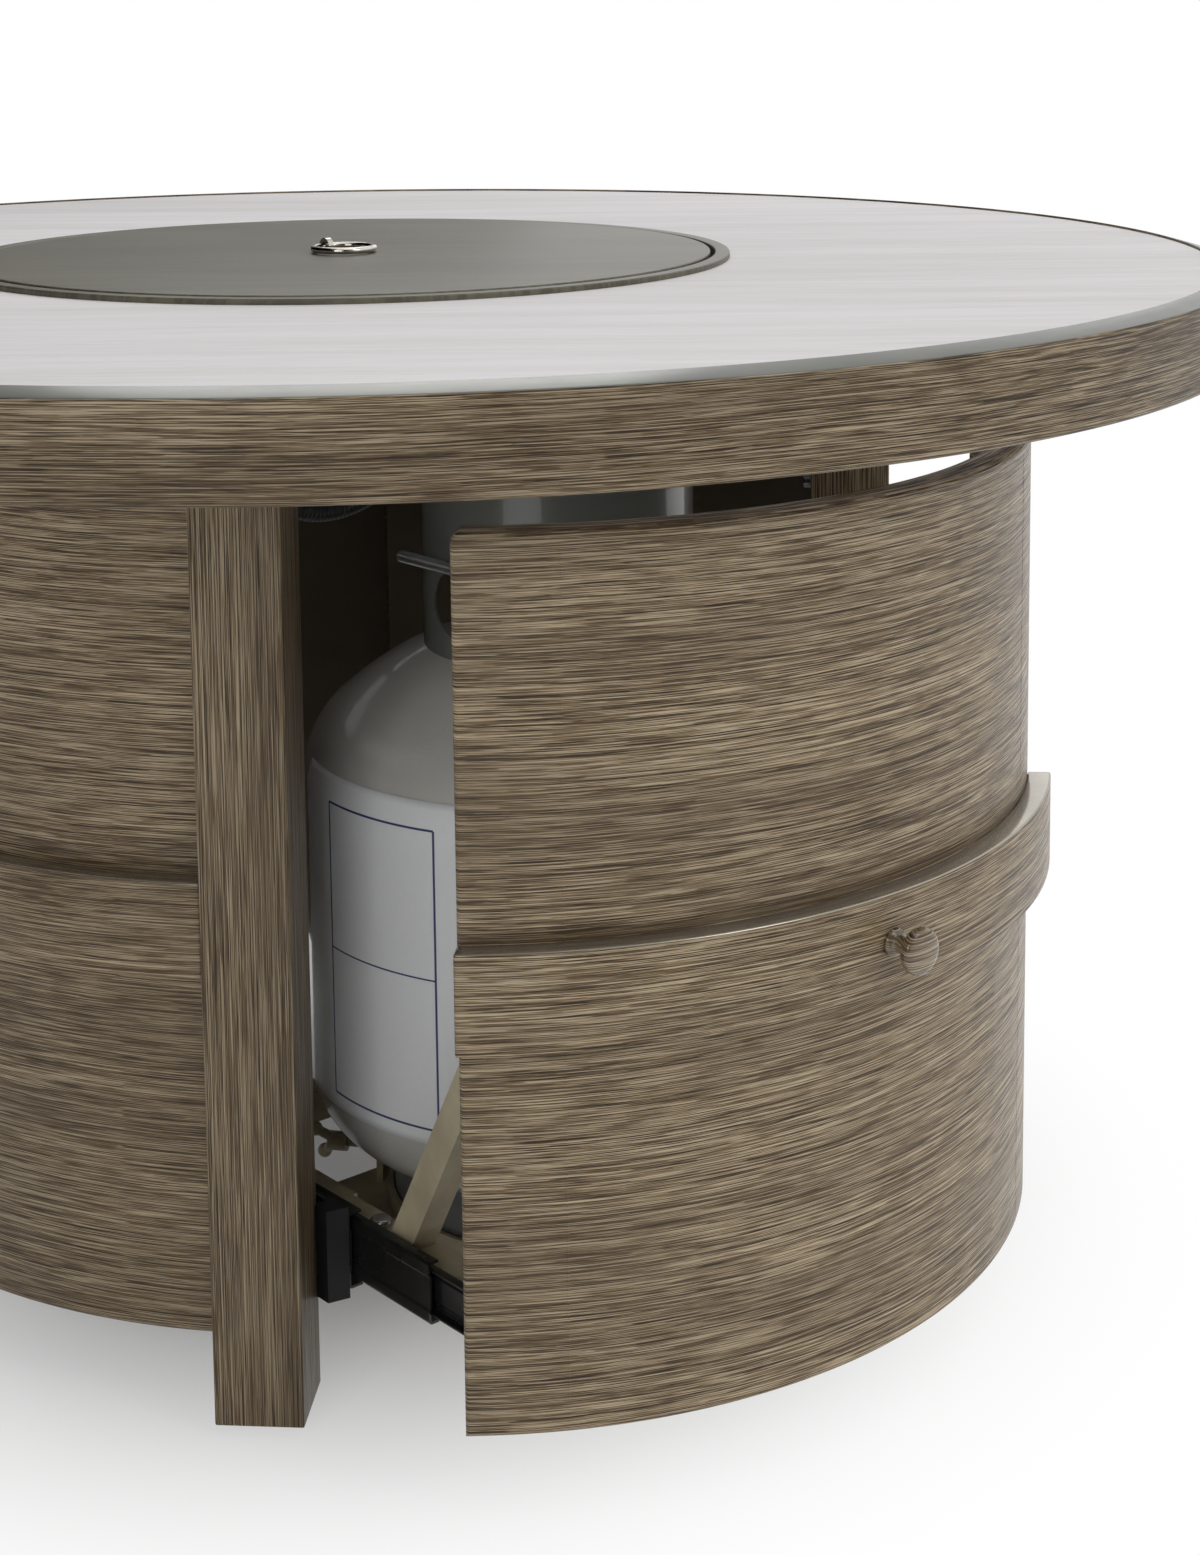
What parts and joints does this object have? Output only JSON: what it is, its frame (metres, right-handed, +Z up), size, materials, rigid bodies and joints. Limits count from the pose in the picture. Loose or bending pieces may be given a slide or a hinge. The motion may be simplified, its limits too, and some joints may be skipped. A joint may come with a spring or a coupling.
{
  "type": "round fire pit table",
  "caption": "Round patio fire pit table with a tile top, a lidded burner and a pull-out drawer for a gas cylinder.",
  "frame": {"origin": "on the floor under the centre of the round top", "axes": "+Z up, the gas cylinder drawer pulls out towards -Y, the gas controls face +X"},
  "size_m": [1.1428, 1.143, 0.6307],
  "materials": {
    "wood_grain_metal": "printed wood grain, satin",
    "tile": "faint streaks, satin",
    "brushed_lid_metal": "brushed, satin",
    "polished_nickel": "polished",
    "stainless": "brushed",
    "galvanised": "zinc plated",
    "fire_glass": "crushed",
    "black_steel": "black zinc",
    "tan_steel": "powder coat",
    "dark_chrome": "dark plated",
    "tank_paint": "gloss",
    "tank_collar_paint": "gloss",
    "tank_foot_paint": "satin",
    "label_paper": "blank, thin dark border",
    "brass": "machined",
    "black_plastic": "moulded",
    "control_plate_metal": "satin",
    "hose_metal": "corrugated"
  },
  "bodies": {
    "table": {"top_rim": "wood_grain_metal", "tile_top": "tile", "top_frame": "black_steel", "burner_trim_ring": "brushed_lid_metal", "burner_bowl": "stainless", "burner_ring": "stainless", "burner_locknut": "brass", "burner_feed_pipe": "brass", "fire_glass": "fire_glass", "pilot_igniter": "stainless", "heat_shield": "galvanised", "leg_front_left": "wood_grain_metal", "leg_front_right": "wood_grain_metal", "leg_rear_left": "wood_grain_metal", "leg_rear_right": "wood_grain_metal", "leg_glides": "black_plastic", "panel_left": "wood_grain_metal", "panel_right": "wood_grain_metal", "panel_rear": "wood_grain_metal", "band_left": "wood_grain_metal", "band_right": "wood_grain_metal", "band_rear": "wood_grain_metal", "base_rail_left": "tan_steel", "base_rail_right": "tan_steel", "slide_end_blocks": "black_steel", "slide_outer_left": "black_steel", "slide_outer_right": "black_steel", "frame_screws": "dark_chrome", "bowl_screws": "dark_chrome", "control_plate": "control_plate_metal", "gas_valve": "brass", "igniter_module": "black_plastic", "burner_hose": "hose_metal"},
    "slide_middle": {"slide_middle_left": "black_steel", "slide_middle_right": "black_steel", "slide_ball_cages": "dark_chrome"},
    "drawer": {"drawer_front": "wood_grain_metal", "drawer_band": "wood_grain_metal", "drawer_knob": "wood_grain_metal", "slide_inner_left": "black_steel", "slide_inner_right": "black_steel", "tray_frame": "tan_steel", "tray_floor": "tan_steel", "cylinder_seat": "tan_steel", "brace_left": "tan_steel", "brace_right": "tan_steel", "cylinder_guard": "galvanised", "tray_bolts": "dark_chrome"},
    "clamp_screw": {"wing_screw": "tan_steel"},
    "gas_cylinder": {"tank_shell": "tank_paint", "tank_foot": "tank_foot_paint", "tank_collar": "tank_collar_paint", "tank_label": "label_paper", "tank_valve": "brass"},
    "handwheel": {"tank_handwheel": "black_plastic"},
    "lid": {"lid": "brushed_lid_metal", "pull_staple": "polished_nickel"},
    "pull_ring": {"pull_ring": "polished_nickel"},
    "gas_knob": {"control_knob": "black_plastic"},
    "igniter_button": {"igniter_button": "black_plastic"}
  },
  "joints": [
    {"name": "drawer_slide", "type": "slide", "parent": "table", "child": "drawer", "axis": [0, -1, 0], "range_m": [-0.139, 0.191]},
    {"name": "slide_middle_travel", "type": "slide", "parent": "table", "child": "slide_middle", "axis": [0, -1, 0], "range_m": [-0.0695, 0.0955]},
    {"name": "clamp_screw_turn", "type": "hinge", "parent": "drawer", "child": "clamp_screw", "pos_m": [-0.07142, -0.12359, 0.075], "axis": [-0.6157, 0.788, 0], "range_deg": [0, 360]},
    {"name": "cylinder_lift", "type": "slide", "parent": "drawer", "child": "gas_cylinder", "axis": [0, 0, 1], "range_m": [0, 0.015]},
    {"name": "cylinder_valve_turn", "type": "hinge", "parent": "gas_cylinder", "child": "handwheel", "pos_m": [0, -0.215, 0.477], "axis": [0, 0, 1], "range_deg": [0, 360]},
    {"name": "lid_lift", "type": "slide", "parent": "table", "child": "lid", "axis": [0, 0, 1], "range_m": [0, 0.15]},
    {"name": "pull_ring_hinge", "type": "hinge", "parent": "lid", "child": "pull_ring", "pos_m": [0, 0.0195, 0.6252], "axis": [-1, 0, 0], "range_deg": [0, 110]},
    {"name": "gas_knob_turn", "type": "hinge", "parent": "table", "child": "gas_knob", "pos_m": [0.344, 0.03, 0.48], "axis": [1, 0, 0], "range_deg": [0, 120]},
    {"name": "igniter_press", "type": "slide", "parent": "table", "child": "igniter_button", "axis": [-1, 0, 0], "range_m": [0, 0.004], "stiffness_N_per_m": 800}
  ],
  "couplings": [
    {"joint": "slide_middle_travel", "follows": "drawer_slide", "ratio": 0.5}
  ]
}
